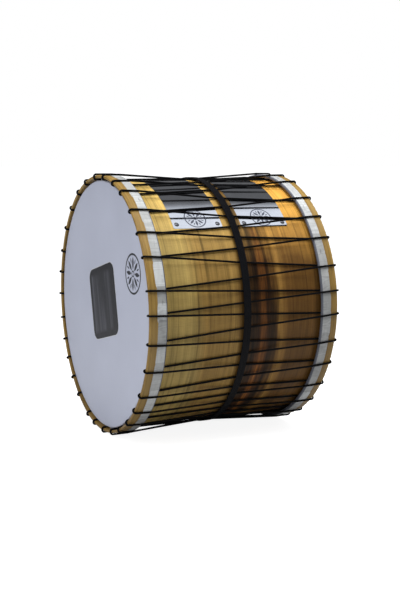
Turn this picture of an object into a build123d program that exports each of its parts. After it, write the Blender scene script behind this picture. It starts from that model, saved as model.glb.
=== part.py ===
"""Rope-tensioned bass drum, lying on its side.

The drum's axis is Y. The struck (front) head faces -Y, +Z is up and the origin is the
middle of the shell. A piece of the rear end is drawn at +Y and the front one is its mirror.
"""
import os
from math import atan2, cos, degrees, pi, radians, sin

from build123d import *

# Hoops: the bent wooden bands that the cord pulls towards each other.
HOOP_R = 260.0
HOOP_T = 6.0
HOOP_W = 34.2
HOOP_END = 199.0              # outer edge of a hoop, from the middle of the drum
HOOP_ROUND = 2.0
HOOP_INNER_EDGE = HOOP_END - HOOP_W

# Heads: film over the shell's end, down into the groove, and out round the hoop.
HEAD_END = 195.0              # outer face of the film
FILM_T = 0.3
TUCK = 9.0                    # how far the film goes down the shell before it crosses
COLLAR_W = 19.0               # the band of film that lies on the outside of the hoop

# Shell: one board, bent round and glued.
SHELL_R = 248.8
SHELL_T = 7.0
SHELL_END = HEAD_END - FILM_T
BEARING_ROUND = 2.0
RING_T = 6.0                  # glued ring inside each end
RING_W = 30.0
RING_SET_BACK = 2.0

# Cord. It is hand-laced, so the loops wander. Steps are degrees, going down from the first loop.
CORD_R = 1.9
CORD_UNDER_R = 251.75         # its middle, between the shell and a hoop
CORD_OVER_R = 262.3           # its middle, on the outside of a hoop
CORD_END = 201.4              # its middle, past the hoop's outer edge
CORD_LOOP_ROUND = 4.9
CORD_WAIST_ROUND = 60.0
CORD_EDGE_ROUND = 40.0
CORD_HOLE_R = 2.0
FRONT_FIRST = 85
FRONT_STEPS = (12, 10, 13, 12, 11, 14, 10, 12, 12, 13, 10, 11, 11, 10, 11, 12,
               9, 15, 11, 11, 10, 11, 12, 11, 11, 13, 13, 13, 12, 13, 11)
REAR_FIRST = 82
REAR_STEPS = (11, 15, 12, 11, 13, 11, 10, 12, 11, 12, 12, 12, 12, 12, 11, 12,
              10, 12, 11, 11, 12, 11, 12, 11, 12, 10, 11, 12, 11, 12, 13)
KNOTTED_COURSE = 18           # the rear-over course that holds the knot
KNOT_Y = 112.0
KNOT_R = 5.4
KNOT_LENGTH = 17.0
CORD_TAIL = 24.0

# Strap round the waist, outside the cord.
WAIST_Y = 3.0
STRAP_W = 15.5
STRAP_T = 1.4
STRAP_R = 253.8               # its inner face
SLIDE_AT = 225.0              # where its buckle sits, in degrees
SLIDE_W = 27.0
SLIDE_LENGTH = 22.0
SLIDE_T = 2.2
SLIDE_SLOT = 4.5
SLIDE_RAIL = 4.0
TAIL_TURN = 26.0              # the strap's tail, in degrees

# Steel plates on the top of the shell, and their screws.
PLATE_T = 0.6
PLATE_FROM = 41.0
PLATE_TO = 106.0
PLATE_SPANS = {"front": (-120.5, -18.0), "rear": (22.5, 124.0)}
PLATE_CORNER = 4.0
SCREW_INSET = 10.0
SCREW_SIDE_INSET = 8.5
SCREW_HEAD_R = 4.8
SCREW_HEAD_H = 2.0
SCREW_SHANK_R = 1.5
SCREW_LENGTH = 6.0

# Staples through the collar of film.
STAPLE_W = 9.0
STAPLE_WIRE = 0.7
STAPLE_LEG = 4.0
STAPLE_Y = 173.0

# Beater patch stuck to the front head.
PATCH_SIDE = 144.0
PATCH_CORNER = 20.0
PATCH_T = 0.3
PATCH_AT = (9.0, 7.0)
PATCH_TURN = 14.0


def at(radius, angle, y):
    """The point at a radius, an angle up from +X, and a place along the drum."""
    return Vector(radius * cos(radians(angle)), y, radius * sin(radians(angle)))


def facing_out(radius, angle, y):
    """Plane that touches the drum there: local x along the drum, local z outwards."""
    outward = Vector(cos(radians(angle)), 0, sin(radians(angle)))
    return Plane(origin=at(radius, angle, y), x_dir=(0, 1, 0), z_dir=outward)


def turned(points):
    """Ring with this section, given as (radius, y) corners, round the drum's axis."""
    return revolve(make_face(Polyline(*points, close=True)), Axis.Y)


def band(inner, outer, y0, y1):
    return turned([(inner, y0), (outer, y0), (outer, y1), (inner, y1)])


def to_end(piece, end):
    """A piece drawn at the rear end, or its mirror at the front."""
    return piece if end == "rear" else mirror(piece, about=Plane.XZ)


def loop_angles(first, steps):
    angles = [first]
    for step in steps[:-1]:
        angles.append(angles[-1] - step)
    return angles


FRONT_LOOPS = loop_angles(FRONT_FIRST, FRONT_STEPS)
REAR_LOOPS = loop_angles(REAR_FIRST, REAR_STEPS)
LOOPS = {"front": FRONT_LOOPS, "rear": REAR_LOOPS}


def courses():
    """Every straight course of the cord: (end it goes over, loop there, end it goes under, loop)."""
    count = len(FRONT_LOOPS)
    listed = []
    for i in range(count):
        after = FRONT_LOOPS[i + 1] if i + 1 < count else FRONT_LOOPS[0] - 360
        listed.append(("front", FRONT_LOOPS[i], "rear", REAR_LOOPS[i]))
        listed.append(("rear", REAR_LOOPS[i], "front", after))
    return listed


def sign(end):
    return 1 if end == "rear" else -1


def part_way(over_angle, under_angle, y_from_over):
    """Angle of a course at a distance from the loop that it starts over."""
    return over_angle + (under_angle - over_angle) * y_from_over / (2 * CORD_END)


def strap_edge(end):
    """Where the strap starts to press on a course that comes down from a hoop."""
    return WAIST_Y + sign(end) * STRAP_W / 2


def course_path(over_end, over_angle, under_end, under_angle):
    over_y = sign(over_end) * CORD_END
    under_y = sign(under_end) * CORD_END
    edge_y = sign(over_end) * HOOP_INNER_EDGE
    press_y = strap_edge(over_end)
    top_r = (CORD_OVER_R + CORD_UNDER_R) / 2
    points = [
        at(top_r, over_angle, over_y),
        at(CORD_OVER_R, over_angle, over_y),
        at(CORD_OVER_R, part_way(over_angle, under_angle, CORD_END - HOOP_INNER_EDGE), edge_y),
        at(CORD_UNDER_R, part_way(over_angle, under_angle, abs(over_y - press_y)), press_y),
        at(CORD_UNDER_R, under_angle, under_y),
        at(top_r, under_angle, under_y),
    ]
    rounds = [CORD_LOOP_ROUND, CORD_EDGE_ROUND, CORD_WAIST_ROUND, CORD_LOOP_ROUND]
    return FilletPolyline(*points, radius=rounds)


def cord_along(path):
    start = Plane(origin=path @ 0, z_dir=path % 0)
    return sweep(start * Circle(CORD_R), path=path, transition=Transition.RIGHT)


def lacing_cord():
    paths = [course_path(*course) for course in courses()]
    solids = [cord_along(path) for path in paths]
    length = sum(path.length for path in paths)
    volume = sum(solid.volume for solid in solids)
    print(f"cord length {length / 1000:.2f} m, volume / (section x length) "
          f"{volume / (pi * CORD_R ** 2 * length):.4f}")
    return solids


def knot():
    """Barrel knot on one hidden course, where the cord's two ends are tied together."""
    over_end, over_angle, _, under_angle = courses()[2 * KNOTTED_COURSE + 1]
    press_y = strap_edge(over_end)
    edge = at(CORD_OVER_R, part_way(over_angle, under_angle, CORD_END - HOOP_INNER_EDGE), HOOP_INNER_EDGE)
    waist = at(CORD_UNDER_R, part_way(over_angle, under_angle, CORD_END - press_y), press_y)
    share = (HOOP_INNER_EDGE - KNOT_Y) / (HOOP_INNER_EDGE - press_y)
    middle = edge + (waist - edge) * share
    frame = Plane(origin=middle, z_dir=waist - edge)
    barrel = Cylinder(KNOT_R, KNOT_LENGTH)
    barrel = fillet(barrel.edges().filter_by(GeomType.CIRCLE), 3.0)
    barrel -= Cylinder(CORD_R + 0.05, KNOT_LENGTH * 2)
    tail = Cylinder(CORD_R, CORD_TAIL)
    outward = Vector(middle.X, 0, middle.Z).normalized()
    local_out = frame.to_local_coords(outward + middle)
    lean = degrees(atan2(local_out.Y, local_out.X))
    side = Rot(0, 0, lean) * Pos(KNOT_R - CORD_R, 0, 0)
    ends = [side * Pos(0, 0, s * (KNOT_LENGTH + CORD_TAIL) / 2) * tail for s in (1, -1)]
    return [frame * piece for piece in [barrel] + ends]


def shell():
    tube = band(SHELL_R - SHELL_T, SHELL_R, -SHELL_END, SHELL_END)
    rims = tube.edges().filter_by(GeomType.CIRCLE)
    bearing_edges = rims.filter_by(lambda e: abs(e.radius - SHELL_R) < 0.01)
    tube = fillet(bearing_edges, BEARING_ROUND)
    for span in PLATE_SPANS.values():
        for plane in screw_planes(span):
            tube -= plane * Cylinder(SCREW_SHANK_R, 2 * SCREW_LENGTH)
    return tube


def inner_ring(end):
    outer = SHELL_R - SHELL_T
    y1 = SHELL_END - RING_SET_BACK
    return to_end(band(outer - RING_T, outer, y1 - RING_W, y1), end)


def hoop(end):
    ring = band(HOOP_R - HOOP_T, HOOP_R, HOOP_INNER_EDGE, HOOP_END)
    ring = fillet(ring.edges().filter_by(GeomType.CIRCLE), HOOP_ROUND)
    for angle in staple_angles(end):
        for leg in staple_legs(angle):
            ring -= leg
    return to_end(ring, end)


def head(end):
    t = FILM_T
    groove_y = HEAD_END - TUCK
    inside = HOOP_R - HOOP_T
    back = HOOP_INNER_EDGE - t
    front = back + COLLAR_W
    film = turned([
        (0, HEAD_END), (SHELL_R + t, HEAD_END), (SHELL_R + t, groove_y), (inside, groove_y),
        (inside, HOOP_INNER_EDGE), (HOOP_R, HOOP_INNER_EDGE), (HOOP_R, front), (HOOP_R + t, front),
        (HOOP_R + t, back), (inside - t, back), (inside - t, groove_y - t), (SHELL_R, groove_y - t),
        (SHELL_R, HEAD_END - t), (0, HEAD_END - t),
    ])
    for _, over_angle, under_end, under_angle in courses():
        if under_end == end:
            angle = part_way(over_angle, under_angle, CORD_END + groove_y)
            plane = Plane(origin=at(CORD_UNDER_R, angle, groove_y), z_dir=(0, 1, 0))
            film -= plane * Cylinder(CORD_HOLE_R, 6 * t)
    for angle in staple_angles(end):
        for leg in staple_legs(angle):
            film -= leg
    return to_end(film, end)


def staple_angles(end):
    """Half-way between every second pair of loops."""
    loops = LOOPS[end]
    return [(loops[i] + loops[i + 1]) / 2 for i in range(0, len(loops) - 1, 2)]


def staple_legs(angle):
    plane = facing_out(HOOP_R + FILM_T, angle, STAPLE_Y)
    apart = (STAPLE_W - STAPLE_WIRE) / 2
    leg = Pos(0, 0, -STAPLE_LEG / 2) * Box(STAPLE_WIRE, STAPLE_WIRE, STAPLE_LEG)
    return [plane * Pos(0, side * apart, 0) * leg for side in (1, -1)]


def staple(angle):
    plane = facing_out(HOOP_R + FILM_T, angle, STAPLE_Y)
    crown = plane * Pos(0, 0, STAPLE_WIRE / 2) * Box(STAPLE_WIRE, STAPLE_W, STAPLE_WIRE)
    first, second = staple_legs(angle)
    return crown + first + second


def strap():
    webbing = band(STRAP_R, STRAP_R + STRAP_T, WAIST_Y - STRAP_W / 2, WAIST_Y + STRAP_W / 2)
    tail_r = STRAP_R + STRAP_T + 0.1
    tail = band(tail_r, tail_r + STRAP_T, WAIST_Y - STRAP_W / 2, WAIST_Y + STRAP_W / 2)
    return [webbing, tail & wedge(SLIDE_AT - TAIL_TURN, SLIDE_AT - 4)]


def slide():
    """Flat three-bar slide on the strap: the tail comes up through its slots."""
    plane = facing_out(STRAP_R + 2 * STRAP_T + 0.3, SLIDE_AT, WAIST_Y)
    outline = RectangleRounded(SLIDE_W, SLIDE_LENGTH, 3)
    slot = SlotOverall(STRAP_W + 3, SLIDE_SLOT)
    reach = SLIDE_LENGTH / 2 - SLIDE_RAIL - SLIDE_SLOT / 2
    flat = outline - Pos(0, reach) * slot - Pos(0, -reach) * slot
    return plane * extrude(flat, SLIDE_T)


def wedge(angle0, angle1):
    """Tall wedge between two angles about the axis, longer than the drum."""
    reach = 2 * HOOP_R
    middle = (angle0 + angle1) / 2
    corners = [at(0, 0, -HOOP_R)] + [at(reach, a, -HOOP_R) for a in (angle0, middle, angle1)]
    face = make_face(Polyline(*corners, close=True))
    return extrude(face, amount=2 * HOOP_R, dir=(0, 1, 0))


def screw_planes(span):
    turn = degrees(SCREW_INSET / SHELL_R)
    return [facing_out(SHELL_R + PLATE_T, angle, y)
            for angle in (PLATE_FROM + turn, PLATE_TO - turn)
            for y in (span[0] + SCREW_SIDE_INSET, span[1] - SCREW_SIDE_INSET)]


def plate(span):
    """Sheet bent to the shell, with rounded corners and a hole under each screw."""
    sheet = band(SHELL_R, SHELL_R + PLATE_T, span[0], span[1]) & wedge(PLATE_FROM, PLATE_TO)
    corners = sheet.edges().filter_by(lambda e: abs(e.length - PLATE_T) < 0.01)
    sheet = fillet(corners, PLATE_CORNER)
    for plane in screw_planes(span):
        sheet -= plane * Cylinder(SCREW_SHANK_R, 4 * PLATE_T)
    return sheet


def screw(plane):
    """Dome-headed wood screw that stands on the plate."""
    ball_r = (SCREW_HEAD_R ** 2 + SCREW_HEAD_H ** 2) / (2 * SCREW_HEAD_H)
    dome = Pos(0, 0, SCREW_HEAD_H - ball_r) * Sphere(ball_r)
    dome &= Pos(0, 0, SCREW_HEAD_H) * Box(4 * ball_r, 4 * ball_r, 2 * SCREW_HEAD_H)
    slot = Pos(0, 0, SCREW_HEAD_H) * (Box(0.9, 6, 1.4) + Box(6, 0.9, 1.4))
    shank = Pos(0, 0, -SCREW_LENGTH / 2) * Cylinder(SCREW_SHANK_R, SCREW_LENGTH)
    return plane * (dome - slot + shank)


def patch():
    plane = Plane(origin=(PATCH_AT[0], -HEAD_END, PATCH_AT[1]), x_dir=(1, 0, 0), z_dir=(0, -1, 0))
    outline = Rot(0, 0, PATCH_TURN) * RectangleRounded(PATCH_SIDE, PATCH_SIDE, PATCH_CORNER)
    return plane * extrude(outline, PATCH_T)


def write(name, solids):
    piece = Compound(children=list(solids)) if isinstance(solids, (list, tuple)) else solids
    piece.label = name
    export_step(piece, f"parts/{name}.step")


os.makedirs("parts", exist_ok=True)
write("shell", shell())
for end in ("front", "rear"):
    write(f"{end}_inner_ring", inner_ring(end))
    write(f"{end}_hoop", hoop(end))
    write(f"{end}_head", head(end))
    write(f"{end}_collar_staples", [to_end(staple(a), end) for a in staple_angles(end)])
    write(f"{end}_plate", plate(PLATE_SPANS[end]))
    write(f"{end}_plate_screws", [screw(plane) for plane in screw_planes(PLATE_SPANS[end])])
write("lacing_cord", lacing_cord())
write("cord_knot", knot())
write("waist_strap", strap())
write("strap_slide", slide())
write("beater_patch", patch())
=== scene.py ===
"""Looks for the rope-tensioned bass drum.

Metres. The drum's axis is Y, its struck (front) head faces -Y and +Z is up. Angles run from +X
up to +Z, round the axis.
"""
import math
import random

import bpy
from mathutils import Matrix, Vector


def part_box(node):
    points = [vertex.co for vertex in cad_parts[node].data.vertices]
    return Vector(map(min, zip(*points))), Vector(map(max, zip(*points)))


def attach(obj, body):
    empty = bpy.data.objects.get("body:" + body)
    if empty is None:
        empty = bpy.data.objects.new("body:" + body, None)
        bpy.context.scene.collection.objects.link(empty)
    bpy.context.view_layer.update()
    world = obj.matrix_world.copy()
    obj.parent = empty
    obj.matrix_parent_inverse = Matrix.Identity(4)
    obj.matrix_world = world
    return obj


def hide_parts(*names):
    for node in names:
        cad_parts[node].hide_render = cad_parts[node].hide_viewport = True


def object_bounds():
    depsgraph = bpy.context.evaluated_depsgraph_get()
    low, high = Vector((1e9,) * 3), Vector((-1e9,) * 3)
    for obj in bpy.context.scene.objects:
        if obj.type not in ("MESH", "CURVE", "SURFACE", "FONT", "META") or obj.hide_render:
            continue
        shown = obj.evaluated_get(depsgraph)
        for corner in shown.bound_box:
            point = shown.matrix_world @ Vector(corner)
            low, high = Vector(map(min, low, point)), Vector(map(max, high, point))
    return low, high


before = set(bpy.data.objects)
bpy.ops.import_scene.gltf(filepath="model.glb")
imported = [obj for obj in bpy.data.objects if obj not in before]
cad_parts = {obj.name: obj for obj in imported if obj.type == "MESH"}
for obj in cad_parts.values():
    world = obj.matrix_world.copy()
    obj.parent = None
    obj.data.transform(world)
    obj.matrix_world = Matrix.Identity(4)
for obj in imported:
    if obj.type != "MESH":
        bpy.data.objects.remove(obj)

CAD_BOX = [list(map(float, corner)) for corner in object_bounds()]

# Sizes that come from the frame.
HOOP_LOW, HOOP_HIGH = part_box("rear_hoop")
HOOP_R = HOOP_HIGH[0]
HOOP_EDGE = HOOP_LOW[1]
SHELL_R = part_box("shell")[1][0]
HEAD_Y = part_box("rear_head")[1][1]
STRAP_LOW, STRAP_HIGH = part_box("waist_strap")
PATCH_LOW, PATCH_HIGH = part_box("beater_patch")
FLOOR_Z = CAD_BOX[0][2]

# Sizes that the frame's boxes don't give.
FILM_T = 0.0003
HOOP_T = 0.006
TUCK = 0.009                  # how far the film goes down the shell before it crosses to the hoop
PATCH_SIDE = 0.144
PATCH_CORNER = 0.020
PATCH_TURN = math.radians(14)
PLATE_FACE_R = SHELL_R + 0.0006
STRAP_R = 0.2538


def linear(red, green, blue, gain=1.0):
    """Scene-linear colour of an 8-bit display colour, times a gain."""
    def one(value):
        value /= 255
        return gain * (value / 12.92 if value <= 0.04045 else ((value + 0.055) / 1.055) ** 2.4)
    return (one(red), one(green), one(blue), 1.0)


# ---------------------------------------------------------------- node helpers

class Shader:
    """A new material with one Principled BSDF, and short calls that add nodes to it."""

    def __init__(self, name, **values):
        self.material = bpy.data.materials.new(name)
        self.material.use_nodes = True
        self.tree = self.material.node_tree
        self.bsdf = self.tree.nodes["Principled BSDF"]
        for key, value in values.items():
            self.bsdf.inputs[key.replace("_", " ")].default_value = value
        self.place = self.add("ShaderNodeTexCoord").outputs["Object"]
        split = self.add("ShaderNodeSeparateXYZ", {0: self.place})
        self.x, self.y, self.z = split.outputs

    def add(self, kind, inputs=None, **props):
        node = self.tree.nodes.new(kind)
        for key, value in props.items():
            setattr(node, key, value)
        for key, value in (inputs or {}).items():
            if isinstance(value, bpy.types.NodeSocket):
                self.tree.links.new(value, node.inputs[key])
            else:
                node.inputs[key].default_value = value
        return node

    def math(self, operation, first, second=0.0, third=0.0):
        inputs = {0: first, 1: second, 2: third}
        return self.add("ShaderNodeMath", inputs, operation=operation).outputs[0]

    def noise(self, scales, detail=4.0, roughness=0.55, distortion=0.0, shift=(0, 0, 0)):
        """Noise stretched by a scale for each axis."""
        mapped = self.add("ShaderNodeMapping", {0: self.place, 1: shift, 3: scales}).outputs[0]
        inputs = {"Vector": mapped, "Scale": 1.0, "Detail": detail, "Roughness": roughness,
                  "Distortion": distortion}
        return self.add("ShaderNodeTexNoise", inputs).outputs[0]

    def ramp(self, factor, stops, interpolation="LINEAR"):
        node = self.add("ShaderNodeValToRGB", {0: factor})
        node.color_ramp.interpolation = interpolation
        elements = node.color_ramp.elements
        while len(elements) < len(stops):
            elements.new(0.5)
        for element, (place, colour) in zip(elements, stops):
            element.position = place
            element.color = colour if hasattr(colour, "__len__") else (colour, colour, colour, 1)
        return node.outputs[0]

    def mix(self, factor, first, second, blend="MIX"):
        node = self.add("ShaderNodeMix", data_type="RGBA", blend_type=blend)
        for index, value in ((0, factor), (6, first), (7, second)):
            if isinstance(value, bpy.types.NodeSocket):
                self.tree.links.new(value, node.inputs[index])
            else:
                node.inputs[index].default_value = value
        return node.outputs[2]

    def shaded(self, amount, colour, factor, stops):
        """The colour multiplied by a ramp over a factor."""
        return self.mix(amount, colour, self.ramp(factor, stops), "MULTIPLY")

    def spread(self, value, low, high, to_low=0.0, to_high=1.0):
        """A value moved from one range to another, and held inside it."""
        inputs = {0: value, 1: low, 2: high, 3: to_low, 4: to_high}
        return self.add("ShaderNodeMapRange", inputs).outputs[0]

    def colour(self, socket):
        self.tree.links.new(socket, self.bsdf.inputs["Base Color"])

    def rough(self, socket, low, high):
        self.tree.links.new(self.spread(socket, 0.0, 1.0, low, high), self.bsdf.inputs["Roughness"])

    def bump(self, height, depth):
        node = self.add("ShaderNodeBump", {"Height": height, "Distance": depth, "Strength": 1.0})
        self.tree.links.new(node.outputs[0], self.bsdf.inputs["Normal"])


# ---------------------------------------------------------------- materials

WOOD_GAIN = 2.7               # reflectance of the boards over their display colour at mid height


# Wood tones, as display colours half-way up the side.
SAPWOOD = (110, 95, 58)
OLD_SAPWOOD = (98, 78, 43)
HONEY = (100, 75, 38)
HEARTWOOD = (65, 45, 20)
RED_HEART = (75, 45, 18)
BLACK_HEART = (32, 19, 7)
# Top tones: the board along the top, painted paler and more golden as painted light from above.
LIT_TOP_SAPWOOD = (150, 125, 70)
LIT_TOP_HONEY = (145, 108, 50)
LIT_TOP_HEART = (80, 55, 22)

# How the tones follow one another from the front hoop to the rear one, as parts of the length:
# sapwood for nearly half, then a heart of two dark stripes, a honey line, and plain heartwood.
BOARD_TONES = [
    (0.0, SAPWOOD), (0.16, SAPWOOD), (0.25, OLD_SAPWOOD), (0.46, OLD_SAPWOOD), (0.51, HEARTWOOD),
    (0.57, BLACK_HEART), (0.61, RED_HEART), (0.66, BLACK_HEART), (0.71, HEARTWOOD), (0.74, HONEY),
    (0.80, HEARTWOOD), (1.0, HEARTWOOD),
]
# The same along the top of the drum, where its heart is narrow and the board is painted paler and more
# golden, as painted light from above.
LIT_TOP_TONES = [(0.0, LIT_TOP_SAPWOOD), (0.45, LIT_TOP_SAPWOOD), (0.60, LIT_TOP_HEART), (0.73, LIT_TOP_HONEY),
             (1.0, LIT_TOP_HONEY)]
BOARD_HALF = 0.163            # half the length of shell that shows between the hoops
# Heights where the painted light along the top starts and where it is full.
LIT_TOP_STARTS, LIT_TOP_FULL = 0.10, 0.19


def wood_stops(tones):
    return [(place, linear(*tone, WOOD_GAIN)) for place, tone in tones]


def shell_wood():
    """Varnished board. The grain runs round the drum: pale sapwood at the front, heartwood behind, and a
    paler top painted as light from above.
    """
    s = Shader("shell_wood", Specular_IOR_Level=0.22)
    drift = s.noise((3.2, 9.0, 3.2), detail=4)
    warped = s.math("MULTIPLY_ADD", s.math("SUBTRACT", drift, 0.5), 0.062, s.y)
    along = s.spread(warped, -BOARD_HALF, BOARD_HALF)
    board = s.ramp(along, wood_stops(BOARD_TONES))
    # Painted light: towards the top, and most of all behind the strap, the board takes the paler top
    # tones, as if lit from above.
    wander = s.math("SUBTRACT", s.noise((6, 12, 6), shift=(2, 2, 9)), 0.5)
    height = s.math("MULTIPLY_ADD", wander, 0.12, s.z)
    top = s.spread(height, LIT_TOP_STARTS, LIT_TOP_FULL)
    lit_top_behind_strap = s.spread(s.y, 0.012, 0.05, 0.35, 0.95)
    board = s.mix(s.math("MULTIPLY", top, lit_top_behind_strap), board, s.ramp(along, wood_stops(LIT_TOP_TONES)))
    flame = s.noise((6, 95, 6), detail=7, roughness=0.68, distortion=0.35, shift=(4, 4, 2))
    heart = s.ramp(along, [(0.47, 0.0), (0.54, 0.95), (0.69, 0.95), (0.75, 0.15)])
    flamed = s.shaded(1.0, board, flame, [(0.38, 0.16), (0.48, 0.62), (0.56, 1.0), (0.66, 2.0)])
    board = s.mix(heart, board, flamed)
    streaks = s.noise((1.8, 170, 1.8), detail=6, roughness=0.62)
    board = s.shaded(1.0, board, streaks, [(0.30, 0.44), (0.46, 0.95), (0.70, 1.25)])
    fibres = s.noise((26, 1400, 26), detail=3)
    board = s.shaded(1.0, board, fibres, [(0.3, (0.84, 0.80, 0.66, 1)), (0.7, (1.10, 1.07, 0.92, 1))])
    fleck = s.noise((1100, 55, 1100), detail=2)
    board = s.shaded(1.0, board, fleck, [(0.30, 0.88), (0.5, 1.0), (0.75, 1.05)])
    rings = s.noise((1.1, 6, 1.1), detail=1, shift=(3, 1, 5))
    repeated = s.math("FRACT", s.math("MULTIPLY_ADD", rings, 3.0, s.math("MULTIPLY", s.y, 38.0)))
    lined = s.shaded(1.0, board, repeated, [(0.0, 0.40), (0.025, 0.66), (0.07, 1.0), (1.0, 1.0)])
    broken = s.ramp(s.noise((7, 40, 7), shift=(1, 8, 3)), [(0.42, 0.0), (0.60, 0.85)])
    board = s.mix(broken, board, lined)
    blotch = s.noise((9, 22, 9), detail=3, shift=(7, 2, 1))
    board = s.shaded(0.8, board, blotch, [(0.3, 0.78), (0.6, 1.08)])
    s.colour(board)
    s.rough(streaks, 0.36, 0.55)
    s.bump(s.mix(0.5, fibres, streaks), 0.0002)
    return s.material


def band_wood(name, tone_pale, tone_dark):
    """Bent wooden band: straight grain round the drum, with fine dark pores."""
    s = Shader(name, Specular_IOR_Level=0.35, Coat_Weight=0.12, Coat_Roughness=0.2)
    grain = s.noise((3, 190, 3), detail=5, roughness=0.6, shift=(1, 4, 2))
    wood = s.ramp(grain, wood_stops([(0.3, tone_dark), (0.62, tone_pale)]))
    patchy = s.noise((7, 14, 7), detail=2, shift=(5, 5, 0))
    wood = s.shaded(0.7, wood, patchy, [(0.3, 0.8), (0.65, 1.1)])
    pores = s.noise((55, 2200, 55), detail=2)
    wood = s.shaded(1.0, wood, pores, [(0.32, 0.68), (0.46, 1.0), (1, 1.03)])
    s.colour(wood)
    s.rough(grain, 0.34, 0.52)
    s.bump(pores, 0.0002)
    return s.material


HEAD_GAIN = 1.40


def head_film():
    """Grey drum film: nearly even, faintly mottled, and painted darker where it turns back under the
    collar, as painted shade in the fold.
    """
    s = Shader("head_film", Specular_IOR_Level=0.4)
    cloud = s.noise((9, 9, 9), detail=3)
    film = s.ramp(cloud, [(0.3, linear(160, 164, 179, HEAD_GAIN)),
                          (0.7, linear(165, 169, 184, HEAD_GAIN))])
    mottle = s.noise((420, 420, 420), detail=3)
    film = s.shaded(0.5, film, mottle, [(0.3, 0.96), (0.7, 1.03)])
    # Painted shade: the film is darkened where it turns back round the hoop's edge.
    painted_fold_shade = s.spread(s.math("ABSOLUTE", s.y), HOOP_EDGE + 0.0008, HOOP_EDGE + 0.0035, 0.22, 1.0)
    s.colour(s.shaded(1.0, film, painted_fold_shade, [(0.0, 0.0), (1.0, 1.0)]))
    s.rough(cloud, 0.33, 0.45)
    s.bump(s.noise((60, 60, 60), detail=5), 0.00012)
    return s.material


def collar_film():
    """The film where it is folded over a hoop: creased and pleated, each tab its own tone, and the
    pleats painted as thin lines of shade and highlight.
    """
    s = Shader("collar_film", Specular_IOR_Level=0.4)
    tone = s.add("ShaderNodeAttribute", attribute_name="tone").outputs["Fac"]
    film = s.ramp(tone, [(0.0, linear(120, 121, 120, 1.6)), (0.6, linear(134, 135, 134, 1.85)),
                         (1.0, linear(150, 152, 152, 1.9))])
    smear = s.noise((30, 190, 30), detail=4)
    film = s.shaded(0.8, film, smear, [(0.3, 0.86), (0.7, 1.06)])
    # Pleats as painted shade and painted highlight: thin darker and lighter lines across the band.
    pleat_shade_and_highlight = s.noise((75, 14, 75), detail=2, roughness=0.4, shift=(2, 0, 5))
    film = s.shaded(0.8, film, pleat_shade_and_highlight, [(0.42, 1.0), (0.455, 0.74), (0.475, 1.0), (0.52, 1.16),
                                       (0.54, 1.0), (0.60, 0.84), (0.62, 1.0)])
    s.colour(film)
    crease = s.noise((85, 260, 85), detail=4, roughness=0.65, distortion=0.6)
    s.rough(smear, 0.34, 0.55)
    s.bump(crease, 0.0011)
    return s.material


BRAID_STRANDS = 4             # strands that lean each way
BRAID_PITCH = 0.0105          # length of one full turn of a strand


def braid(name):
    """Round black braid: strands lean both ways round the cord, whose axis is nearly Y."""
    s = Shader(name, Specular_IOR_Level=0.12)
    normal = s.add("ShaderNodeTexCoord").outputs["Normal"]
    nx, _, nz = s.add("ShaderNodeSeparateXYZ", {0: normal}).outputs
    round_it = s.math("MULTIPLY", s.math("ARCTAN2", nz, nx), float(BRAID_STRANDS))
    pitch = s.math("MULTIPLY", s.y, 2 * math.pi * BRAID_STRANDS / BRAID_PITCH)
    one = s.math("SINE", s.math("ADD", pitch, round_it))
    two = s.math("SINE", s.math("SUBTRACT", pitch, round_it))
    weave = s.math("MAXIMUM", one, two)
    height = s.spread(weave, -0.6, 1.0)
    fuzz = s.noise((2500, 2500, 2500), detail=2)
    # Painted shade and painted highlight: the strands are darker in the grooves between them and lighter
    # on their crowns.
    black = s.ramp(height, [(0.0, linear(1, 1, 1)), (0.6, linear(6, 6, 7)), (1.0, linear(16, 16, 18))])
    s.colour(s.shaded(0.6, black, fuzz, [(0.3, 0.6), (0.7, 1.4)]))
    s.rough(fuzz, 0.5, 0.75)
    s.bump(s.mix(0.25, height, fuzz), 0.0005)
    return s.material


YARN_TURN = 0.00275           # across the strap, from one turn of the herringbone to the next
YARN_PITCH = 0.0024


def webbing():
    """Herringbone webbing: slanted yarns that turn back across the strap, from its own map."""
    s = Shader("webbing", Specular_IOR_Level=0.14)
    flat = s.add("ShaderNodeUVMap").outputs[0]
    u, v, _ = s.add("ShaderNodeSeparateXYZ", {0: flat}).outputs
    folded = s.math("PINGPONG", v, YARN_TURN)
    yarn = s.math("SINE", s.math("MULTIPLY", s.math("ADD", u, folded), 2 * math.pi / YARN_PITCH))
    height = s.spread(yarn, -1.0, 1.0)
    fuzz = s.noise((1800, 1800, 1800), detail=2)
    # Painted shade and painted highlight: the yarns are darker in the grooves between them and lighter
    # on their crowns.
    black = s.ramp(height, [(0.0, linear(1, 1, 2)), (0.7, linear(9, 9, 11)), (1.0, linear(24, 24, 29))])
    s.colour(s.shaded(0.5, black, fuzz, [(0.3, 0.7), (0.7, 1.3)]))
    s.rough(fuzz, 0.42, 0.68)
    s.bump(s.mix(0.2, height, fuzz), 0.0005)
    return s.material


def polished_steel(name, rough_low, rough_high, tone):
    """Bright sheet: fine rolling lines along the drum, light handling marks."""
    s = Shader(name, Metallic=1.0)
    lines = s.noise((900, 6, 900), detail=3)
    cloud = s.noise((30, 30, 30), detail=4)
    sheet = s.ramp(cloud, [(0.3, linear(*tone, 0.9)), (0.7, linear(*tone))])
    s.colour(s.shaded(0.6, sheet, lines, [(0.3, 0.9), (0.7, 1.0)]))
    s.rough(cloud, rough_low, rough_high)
    s.bump(lines, 0.00002)
    return s.material


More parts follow.
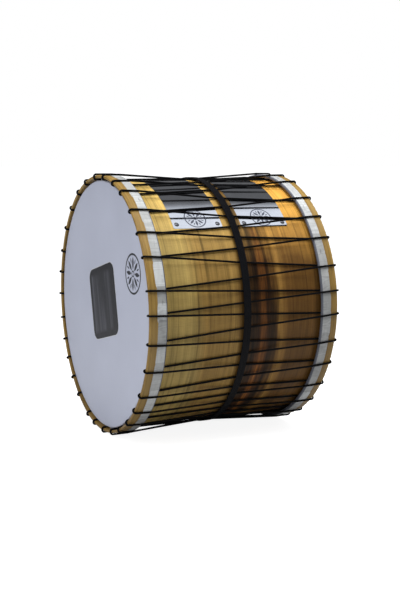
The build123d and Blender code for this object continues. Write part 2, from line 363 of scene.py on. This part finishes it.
def patch_black():
    """Satin black patch: paler streaks down it, a darker rim, and a painted sheen that fades from one
    side to the other.
    """
    s = Shader("patch_black", Specular_IOR_Level=0.3)
    middle = (PATCH_LOW + PATCH_HIGH) / 2
    about = {"Vector": s.place, "Center": tuple(middle), "Angle": PATCH_TURN}
    turned = s.add("ShaderNodeVectorRotate", about, rotation_type="Y_AXIS").outputs[0]
    local = s.add("ShaderNodeVectorMath", {0: turned, 1: tuple(middle)}, operation="SUBTRACT").outputs[0]
    a, _, b = s.add("ShaderNodeSeparateXYZ", {0: local}).outputs
    mapped = s.add("ShaderNodeMapping", {0: local, 3: (42, 1, 2.4)}).outputs[0]
    streak = s.add("ShaderNodeTexNoise", {"Vector": mapped, "Scale": 1.0, "Detail": 6.0,
                                          "Roughness": 0.6}).outputs[0]
    shade = s.ramp(streak, [(0.30, linear(30, 30, 35)), (0.48, linear(52, 53, 60)),
                            (0.62, linear(94, 95, 104)), (0.75, linear(112, 114, 123))])
    # Painted sheen: the patch is lighter towards one side and darker towards the other, as light falling
    # across it.
    lean = s.spread(a, -0.06, 0.065, 1.0, 0.36)
    shade = s.shaded(1.0, shade, lean, [(0.0, 0.0), (1.0, 1.0)])
    edge = s.math("MAXIMUM", s.math("ABSOLUTE", a), s.math("ABSOLUTE", b))
    rim = s.spread(edge, PATCH_SIDE / 2 - 0.018, PATCH_SIDE / 2 - 0.010)
    s.colour(s.mix(rim, shade, linear(34, 34, 39)))
    s.rough(streak, 0.32, 0.5)
    s.bump(s.noise((900, 900, 900), detail=2), 0.00006)
    return s.material


def printed(name, tone, rough):
    """Flat ink or etching, slightly uneven."""
    s = Shader(name)
    uneven = s.noise((700, 700, 700), detail=3)
    s.colour(s.ramp(uneven, [(0.3, linear(*tone, 0.8)), (0.7, linear(*tone, 1.15))]))
    s.rough(uneven, rough - 0.05, rough + 0.1)
    return s.material


# ---------------------------------------------------------------- mesh helpers

def add_piece(name, verts, faces, material, slot, flat=False, uvs=None):
    """A new mesh piece that rides on the drum."""
    mesh = bpy.data.meshes.new(name)
    mesh.from_pydata([tuple(v) for v in verts], [], faces)
    mesh.validate()
    for polygon in mesh.polygons:
        polygon.use_smooth = not flat
    if uvs:
        layer = mesh.uv_layers.new(name="map")
        for loop in mesh.loops:
            layer.data[loop.index].uv = uvs[loop.vertex_index]
    piece = bpy.data.objects.new(name, mesh)
    bpy.context.scene.collection.objects.link(piece)
    mesh.materials.append(material)
    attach(piece, "root")
    return piece


def at(radius, angle, y):
    return Vector((radius * math.cos(angle), y, radius * math.sin(angle)))


def grid_faces(rows, columns, close_rows=False, close_columns=False):
    """Quads of a grid whose point (row, column) has index row * columns + column."""
    faces = []
    for i in range(rows if close_rows else rows - 1):
        for j in range(columns if close_columns else columns - 1):
            a, b = i * columns, (i + 1) % rows * columns
            k = (j + 1) % columns
            faces.append((a + j, a + k, b + k, b + j))
    return faces


def sides(end):
    return 1 if end == "rear" else -1


def use(node, material):
    """Gives a CAD node its finished material."""
    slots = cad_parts[node].data.materials
    if len(slots) == 0:
        slots.append(material)
    for index in range(len(slots)):
        slots[index] = material


# ---------------------------------------------------------------- heads

HEAD_STEPS = 360


def arc_points(centre, radius, start, stop, steps):
    """Points of an arc in the (radius, y) section."""
    found = []
    for k in range(steps + 1):
        turn = math.radians(start + (stop - start) * k / steps)
        found.append((centre[0] + radius * math.cos(turn), centre[1] + radius * math.sin(turn)))
    return found


def head_section():
    """Middle of the film, from the centre of the head to the hoop's inner edge, at the rear end."""
    half = FILM_T / 2
    bend = 0.0022
    inside = HOOP_R - HOOP_T - half
    groove_y = HEAD_Y - TUCK
    line = [(r, HEAD_Y - half) for r in (0.0003, 0.0012, 0.03, 0.07, 0.12, 0.17, 0.21, 0.235)]
    line += arc_points((SHELL_R + half - bend, HEAD_Y - half - bend), bend, 90, 0, 6)
    line += arc_points((SHELL_R + half + 0.0018, groove_y + 0.0018), 0.0018, 180, 270, 4)
    line += arc_points((inside - 0.0012, groove_y - 0.0012), 0.0012, 90, 0, 4)
    line += [(inside, HOOP_EDGE + 0.003)]
    line += arc_points((HOOP_R - HOOP_T / 2, HOOP_EDGE + 0.0015), HOOP_T / 2 + half, 180, 360, 10)
    line += [(HOOP_R + half, HOOP_EDGE + 0.006)]
    return line


def thickened(line, thickness):
    """Closed section: the line offset to both sides."""
    out, back = [], []
    for k, (r, y) in enumerate(line):
        before, after = line[max(k - 1, 0)], line[min(k + 1, len(line) - 1)]
        dr, dy = after[0] - before[0], after[1] - before[1]
        size = math.hypot(dr, dy)
        nr, ny = -dy / size * thickness / 2, dr / size * thickness / 2
        out.append((r + nr, y + ny))
        back.append((r - nr, y - ny))
    return out + back[::-1]


def head(end, material):
    section = thickened(head_section(), FILM_T)
    verts = []
    for k in range(HEAD_STEPS):
        turn = 2 * math.pi * k / HEAD_STEPS
        verts += [at(max(r, 0.0), turn, sides(end) * y) for r, y in section]
    faces = grid_faces(HEAD_STEPS, len(section), close_rows=True, close_columns=True)
    if end == "front":
        faces = [face[::-1] for face in faces]
    skin = add_piece(f"{end}_head_skin", verts, faces, material, "head_film")
    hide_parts(f"{end}_head")


COLLAR_W = 0.0190
TAB_ACROSS = 7
TAB_ALONG = 10


def tab_spans(draw):
    """Angles where each tab starts and ends, all the way round."""
    starts = [0.0]
    while starts[-1] < 360 - 12:
        starts.append(starts[-1] + draw.uniform(6.5, 14.5))
    starts = [value * 360 / (starts[-1] + 11) for value in starts]
    return list(zip(starts, starts[1:] + [starts[0] + 360]))


def collar(end, material):
    """The film's cut edge laid back on the hoop in overlapping tabs."""
    draw = random.Random(31 if end == "front" else 57)
    verts, faces, tones = [], [], []
    for first, last in tab_spans(draw):
        lap = draw.uniform(0.6, 1.5)
        tone = draw.uniform(0.15, 0.75) if draw.random() < 0.8 else 1.0
        reach = COLLAR_W + draw.uniform(-0.0011, 0.0009)
        slope = draw.uniform(-0.0012, 0.0012)
        corner = draw.uniform(0.0006, 0.0020)
        lift = draw.uniform(0.0002, 0.0005)
        base = len(verts)
        for side in (0, 1):
            for i in range(TAB_ALONG + 1):
                share = i / TAB_ALONG
                turn = math.radians(first + (last + lap - first) * share)
                raised = 0.00003 + lift * share ** 3
                ends_in = corner * max(0.0, abs(share - 0.5) * 2 - 0.75) * 4
                top_y = HOOP_EDGE - FILM_T + reach + slope * (share - 0.5) - ends_in
                for j in range(TAB_ACROSS + 1):
                    y = HOOP_EDGE + 0.0012 + (top_y - HOOP_EDGE - 0.0012) * j / TAB_ACROSS
                    puff = 0.00022 * math.sin(math.pi * j / TAB_ACROSS) * math.sin(math.pi * share)
                    radius = HOOP_R + raised + side * FILM_T + puff
                    verts.append(at(radius, turn, sides(end) * y))
                    tones.append(tone)
        rows, columns = TAB_ALONG + 1, TAB_ACROSS + 1
        count = rows * columns
        under = [tuple(base + v for v in face) for face in grid_faces(rows, columns)]
        over = [tuple(count + v for v in face[::-1]) for face in under]
        rim = [i * columns for i in range(rows)]
        rim += [(rows - 1) * columns + j for j in range(1, columns)]
        rim += [i * columns + columns - 1 for i in range(rows - 2, -1, -1)]
        rim += [j for j in range(columns - 2, 0, -1)]
        walls = [(base + a, base + b, base + count + b, base + count + a)
                 for a, b in zip(rim, rim[1:] + rim[:1])]
        block = under + over + walls
        faces += [face[::-1] for face in block] if end == "rear" else block
    piece = add_piece(f"{end}_collar", verts, faces, material, "head_film")
    mark = piece.data.attributes.new("tone", "FLOAT", "POINT")
    mark.data.foreach_set("value", tones)
    edge = piece.modifiers.new("edges", "EDGE_SPLIT")
    edge.split_angle = math.radians(40)


# ---------------------------------------------------------------- strap, slide and knot

STRAP_STEPS = 744
STRAP_HALF = (STRAP_HIGH[1] - STRAP_LOW[1]) / 2
STRAP_MID_Y = (STRAP_HIGH[1] + STRAP_LOW[1]) / 2
STRAP_T = 0.0014
SLIDE_ANGLE = math.radians(225)
TAIL_TURN = math.radians(26)  # the tail, from the slide to its cut end
TAIL_PAST = math.radians(2.2)
CORD_COURSES = 62             # the strap dips a little between them


def strap_section():
    """Rounded flat section as (out, along) offsets, anticlockwise."""
    edge = STRAP_T / 2
    points = [(edge * math.sin(a), STRAP_HALF - edge + edge * math.cos(a))
              for a in (math.radians(d) for d in (90, 60, 30, 0, -30, -60, -90))]
    inner = [(-edge, STRAP_HALF * s) for s in (0.6, 0.2, -0.2, -0.6)]
    other = [(o, -a) for o, a in reversed(points)]
    outer = [(edge, STRAP_HALF * s) for s in (-0.6, -0.2, 0.2, 0.6)]
    return points + inner + other + outer


def strap_run(name, first, last, radius_at, closed):
    """Length of webbing from one angle to another."""
    section = strap_section()
    steps = int(STRAP_STEPS * abs(last - first) / (2 * math.pi))
    rows = steps if closed else steps + 1
    verts, uvs = [], []
    for k in range(rows):
        turn = first + (last - first) * k / steps
        for out, along in section:
            verts.append(at(radius_at(turn) + out, turn, STRAP_MID_Y + along))
            uvs.append((turn * STRAP_R, along))
    faces = grid_faces(rows, len(section), close_rows=closed, close_columns=True)
    if not closed:
        count = len(section)
        faces += [tuple(range(count - 1, -1, -1)), tuple((rows - 1) * count + j for j in range(count))]
    return add_piece(name, verts, faces, WEBBING, "strap_black", uvs=uvs)


def strap():
    middle = STRAP_R + STRAP_T / 2
    ring = strap_run("strap", 0, 2 * math.pi,
                     lambda turn: middle + 0.00012 * math.cos(CORD_COURSES * turn), True)
    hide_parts("waist_strap")
    near, far = SLIDE_ANGLE - TAIL_TURN, SLIDE_ANGLE + TAIL_PAST

    def tail_radius(turn):
        over_slide = math.exp(-((turn - SLIDE_ANGLE) / math.radians(1.0)) ** 2)
        return middle + STRAP_T + 0.0001 + 0.0019 * over_slide
    strap_run("strap_tail", near, far, tail_radius, False)


def tube(name, points, radius, material, slot, sides_round=12):
    """Round tube along points, closed at both ends."""
    verts, faces = [], []
    previous = None
    for k, point in enumerate(points):
        ahead = (points[min(k + 1, len(points) - 1)] - points[max(k - 1, 0)]).normalized()
        if previous is None:
            previous = ahead.orthogonal().normalized()
        across_it = (previous - ahead * previous.dot(ahead)).normalized()
        other = ahead.cross(across_it)
        previous = across_it
        for j in range(sides_round):
            turn = 2 * math.pi * j / sides_round
            verts.append(point + (across_it * math.cos(turn) + other * math.sin(turn)) * radius)
    faces = grid_faces(len(points), sides_round, close_columns=True)
    faces.append(tuple(range(sides_round)))
    faces.append(tuple((len(points) - 1) * sides_round + j for j in range(sides_round - 1, -1, -1)))
    return add_piece(name, verts, [face[::-1] for face in faces], material, slot)


def knot(material):
    """Barrel knot: four turns round the standing course, and two cut tails."""
    low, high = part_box("cord_knot")
    middle = (low + high) / 2
    outward = Vector((middle[0], 0, middle[2])).normalized()
    axis = (Vector((0, -1, 0)) - outward * 0.067).normalized()
    side_dir = outward.cross(axis)
    cord_r, turn_r, turns, pitch = 0.0018, 0.0037, 4, 0.0037
    centre = middle - outward * 0.0008
    points = []
    for k in range(turns * 16 + 1):
        turn = 2 * math.pi * k / 16
        along = (k / 16 - turns / 2) * pitch
        round_it = outward * math.cos(turn) + side_dir * math.sin(turn)
        points.append(centre + axis * along + round_it * turn_r)
    lead = [points[0] - axis * step + outward * 0.3 * step - side_dir * step * 0.4
            for step in (0.021, 0.016, 0.011, 0.006, 0.003)]
    tail = [points[-1] + axis * step + outward * 0.25 * step + side_dir * step * 0.5
            for step in (0.003, 0.006, 0.011, 0.016, 0.021)]
    coil = tube("knot_coil", lead + points + tail, cord_r, material, "cord_black")
    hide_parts("cord_knot")


# ---------------------------------------------------------------- marks

def petal(reach_in, reach_out, half_width, turn, steps=10):
    """Leaf shape as rows of two points, leaning at an angle."""
    rows = []
    for k in range(steps + 1):
        share = k / steps
        r = reach_in + (reach_out - reach_in) * share
        w = half_width * math.sin(math.pi * min(max(share, 0.02), 0.98)) ** 0.8
        rows.append([(r * math.cos(turn) - s * w * math.sin(turn),
                      r * math.sin(turn) + s * w * math.cos(turn)) for s in (-1, 1)])
    return rows


def ring_rows(inner, outer, steps=96):
    return [[(r * math.cos(a), r * math.sin(a)) for r in (inner, outer)]
            for a in (2 * math.pi * k / steps for k in range(steps + 1))]


def rosette(size):
    """Plain ring with eight leaves, and a second ring of small ones between them."""
    shapes = [ring_rows(0.90 * size, size), ring_rows(0.10 * size, 0.17 * size, 32)]
    for k in range(8):
        turn = 2 * math.pi * k / 8
        shapes.append(petal(0.22 * size, 0.82 * size, 0.10 * size, turn))
        shapes.append(petal(0.52 * size, 0.80 * size, 0.045 * size, turn + math.pi / 8))
    return shapes


def mark(name, shapes, put, material, slot):
    """Thin closed slabs over a surface: put(a, b, height) places a flat point on it."""
    verts, faces = [], []
    for rows in shapes:
        base = len(verts)
        for height in (0.0, 1.0):
            for pair in rows:
                verts += [put(a, b, height) for a, b in pair]
        count = 2 * len(rows)
        quads = [tuple(base + v for v in face) for face in grid_faces(len(rows), 2)]
        rim = [2 * i for i in range(len(rows))] + [2 * i + 1 for i in range(len(rows) - 1, -1, -1)]
        faces += quads + [tuple(v + count for v in quad[::-1]) for quad in quads]
        faces += [(base + a, base + b, base + count + b, base + count + a)
                  for a, b in zip(rim, rim[1:] + rim[:1])]
    return add_piece(name, verts, faces, material, slot, flat=True)


HEAD_MARK_AT = (0.1685, 0.080)
HEAD_MARK_SIZE = 0.039
INK_T = 0.00006


def head_mark(material):
    def put(a, b, height):
        return Vector((HEAD_MARK_AT[0] + a, -HEAD_Y - INK_T * (0.2 + height), HEAD_MARK_AT[1] + b))
    mark("head_emblem", rosette(HEAD_MARK_SIZE), put, material, "patch_black")


PLATE_MARK_SIZE = 0.0225
PLATE_MARK_ANGLE = math.radians(46.6)


def plate_mark(end, material):
    low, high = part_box(f"{end}_plate")
    middle_y = (low[1] + high[1]) / 2

    def put(a, b, height):
        turn = PLATE_MARK_ANGLE + b / PLATE_FACE_R
        return at(PLATE_FACE_R + INK_T * (0.1 + height), turn, middle_y + a)
    mark(f"{end}_plate_emblem", rosette(PLATE_MARK_SIZE), put, material, "plate_steel")


def rounded_square(side, corner):
    points = []
    for quarter in range(4):
        corner_turn = math.pi / 2 * quarter + math.pi / 4
        reach = (side / 2 - corner) * math.sqrt(2)
        cx, cz = reach * math.cos(corner_turn), reach * math.sin(corner_turn)
        for k in range(9):
            turn = math.pi / 2 * quarter + math.pi / 2 * k / 8
            points.append((cx + corner * math.cos(turn), cz + corner * math.sin(turn)))
    return points


def patch_rim(material):
    """The patch's clear carrier shows as a thin pale line round it."""
    middle = (PATCH_LOW + PATCH_HIGH) / 2
    inner = rounded_square(PATCH_SIDE - 0.0004, PATCH_CORNER)
    outer = rounded_square(PATCH_SIDE + 0.0030, PATCH_CORNER + 0.0015)
    rows = [[a, b] for a, b in zip(inner, outer)]
    rows.append(rows[0])
    cos_t, sin_t = math.cos(PATCH_TURN), math.sin(PATCH_TURN)

    def put(a, b, height):
        return Vector((middle[0] + a * cos_t - b * sin_t, -HEAD_Y - 0.00012 * (0.1 + height),
                       middle[2] + a * sin_t + b * cos_t))
    mark("patch_carrier", [rows], put, material, "head_film")


# ---------------------------------------------------------------- the drum

FILM = head_film()
COLLAR = collar_film()
CORD = braid("cord_braid")
WEBBING = webbing()
HOOP_WOOD = band_wood("hoop_wood", (100, 80, 40), (72, 54, 23))
RING_WOOD = band_wood("ring_wood", (130, 108, 70), (104, 82, 48))
PLATE_STEEL = polished_steel("plate_steel", 0.10, 0.18, (226, 230, 238))
SCREW_STEEL = polished_steel("screw_steel", 0.14, 0.24, (168, 168, 174))
STAPLE_STEEL = polished_steel("staple_steel", 0.25, 0.4, (190, 190, 192))

use("shell", shell_wood())
use("lacing_cord", CORD)
use("strap_slide", polished_steel("slide_steel", 0.3, 0.45, (150, 150, 154)))
use("beater_patch", patch_black())
for end in ("front", "rear"):
    use(f"{end}_hoop", HOOP_WOOD)
    use(f"{end}_inner_ring", RING_WOOD)
    use(f"{end}_collar_staples", STAPLE_STEEL)
    use(f"{end}_plate", PLATE_STEEL)
    use(f"{end}_plate_screws", SCREW_STEEL)
    head(end, FILM)
    collar(end, COLLAR)
    plate_mark(end, printed("etched_steel", (74, 78, 90), 0.5))
strap()
knot(CORD)
head_mark(printed("head_ink", (42, 44, 52), 0.45))
patch_rim(printed("patch_carrier", (205, 207, 214), 0.35))


# ---------------------------------------------------------------- floor, light and camera

FLOOR_HALF = 40.0


def floor():
    """Pale floor. Its glow is for the eye only, so it looks white and lights the drum less."""
    s = Shader("studio_floor", Roughness=0.9, Specular_IOR_Level=0.0)
    tone = s.noise((0.8, 0.8, 0.8), detail=2)
    s.colour(s.ramp(tone, [(0.3, (0.50, 0.50, 0.50, 1)), (0.7, (0.52, 0.52, 0.52, 1))]))
    s.bsdf.inputs["Emission Color"].default_value = (1, 1, 1, 1)
    seen = s.add("ShaderNodeLightPath").outputs["Is Camera Ray"]
    s.tree.links.new(s.math("MULTIPLY", seen, 0.9), s.bsdf.inputs["Emission Strength"])
    corners = [(a * FLOOR_HALF, b * FLOOR_HALF) for a, b in ((-1, -1), (1, -1), (1, 1), (-1, 1))]
    mesh = bpy.data.meshes.new("floor")
    mesh.from_pydata([(x, y, FLOOR_Z) for x, y in corners], [], [(0, 1, 2, 3)])
    plane = bpy.data.objects.new("floor", mesh)
    bpy.context.scene.collection.objects.link(plane)
    mesh.materials.append(s.material)


# Where the overhead panel's reflection starts and is full, as parts of a direction.
PANEL_X = (-0.30, -0.12)
PANEL_Z = (0.60, 0.78)
PANEL_TONE = (0.97, 1.0, 1.05, 1)
SKY_STOPS = [(0.0, 0.20), (0.16, 0.19), (0.40, 0.14), (0.80, 0.13), (1.0, 0.13)]


def sky():
    """Studio. It looks white, and lights the drum with a dim sky and one bright panel overhead."""
    world = bpy.data.worlds.new("studio")
    bpy.context.scene.world = world
    world.use_nodes = True
    nodes, link = world.node_tree.nodes, world.node_tree.links.new
    kinds = ("ShaderNodeTexCoord", "ShaderNodeSeparateXYZ", "ShaderNodeValToRGB", "ShaderNodeMath",
             "ShaderNodeMix", "ShaderNodeBackground", "ShaderNodeMixShader", "ShaderNodeLightPath")
    place, split, ramp, panel, lit, white, choose, path = [nodes.new(kind) for kind in kinds]
    dim = nodes["Background"]

    link(place.outputs["Generated"], split.inputs[0])
    link(split.outputs[2], ramp.inputs[0])
    elements = ramp.color_ramp.elements
    while len(elements) < len(SKY_STOPS):
        elements.new(0.5)
    for element, (where, tone) in zip(elements, SKY_STOPS):
        element.position = where
        element.color = (tone, tone, tone * 1.01, 1)

    panel.operation = "MULTIPLY"
    for index, (axis, limits) in enumerate(((0, PANEL_X), (2, PANEL_Z))):
        edge = nodes.new("ShaderNodeMapRange")
        link(split.outputs[axis], edge.inputs[0])
        edge.inputs[1].default_value, edge.inputs[2].default_value = limits
        link(edge.outputs[0], panel.inputs[index])
    lit.data_type = "RGBA"
    lit.inputs[7].default_value = PANEL_TONE
    link(panel.outputs[0], lit.inputs[0])
    link(ramp.outputs[0], lit.inputs[6])
    link(lit.outputs[2], dim.inputs[0])

    white.inputs[0].default_value = (1, 1, 1, 1)
    link(path.outputs["Is Camera Ray"], choose.inputs[0])
    link(dim.outputs[0], choose.inputs[1])
    link(white.outputs[0], choose.inputs[2])
    link(choose.outputs[0], nodes["World Output"].inputs[0])


def area_light(name, place, target, size, power):
    data = bpy.data.lights.new(name, "AREA")
    data.shape = "RECTANGLE"
    data.size, data.size_y = size
    data.energy = power
    lamp = bpy.data.objects.new(name, data)
    bpy.context.scene.collection.objects.link(lamp)
    lamp.location = place
    lamp.visible_glossy = False
    lamp.rotation_euler = (Vector(target) - Vector(place)).to_track_quat("-Z", "Y").to_euler()


CAMERA_AZIMUTH = math.radians(65.11)
CAMERA_ELEVATION = math.radians(8.0)
CAMERA_ROLL = math.radians(0.37)
CAMERA_DISTANCE = 8.332 * HOOP_R
CAMERA_LENS = 61.8
CAMERA_SENSOR = 36.0
CAMERA_SHIFT = (0.0174, -0.0013)


def camera():
    data = bpy.data.cameras.new("camera")
    data.sensor_fit = "VERTICAL"
    data.sensor_height = CAMERA_SENSOR
    data.lens = CAMERA_LENS
    data.shift_x, data.shift_y = CAMERA_SHIFT
    eye = bpy.data.objects.new("camera", data)
    bpy.context.scene.collection.objects.link(eye)
    flat = math.cos(CAMERA_ELEVATION)
    back = Vector((math.sin(CAMERA_AZIMUTH) * flat, -math.cos(CAMERA_AZIMUTH) * flat,
                   math.sin(CAMERA_ELEVATION)))
    turn = back.to_track_quat("Z", "Y").to_matrix() @ Matrix.Rotation(CAMERA_ROLL, 3, "Z")
    eye.matrix_world = Matrix.Translation(back * CAMERA_DISTANCE) @ turn.to_4x4()
    bpy.context.scene.camera = eye


floor()
sky()
area_light("overhead", (0.42, 0.2, 1.9), (0.2, 0.1, 0), (1.0, 1.8), 48)
area_light("front_fill", (0.5, -2.4, 0.9), (0, 0, 0), (1.8, 1.8), 27)
camera()
bpy.context.scene.view_settings.view_transform = "Standard"
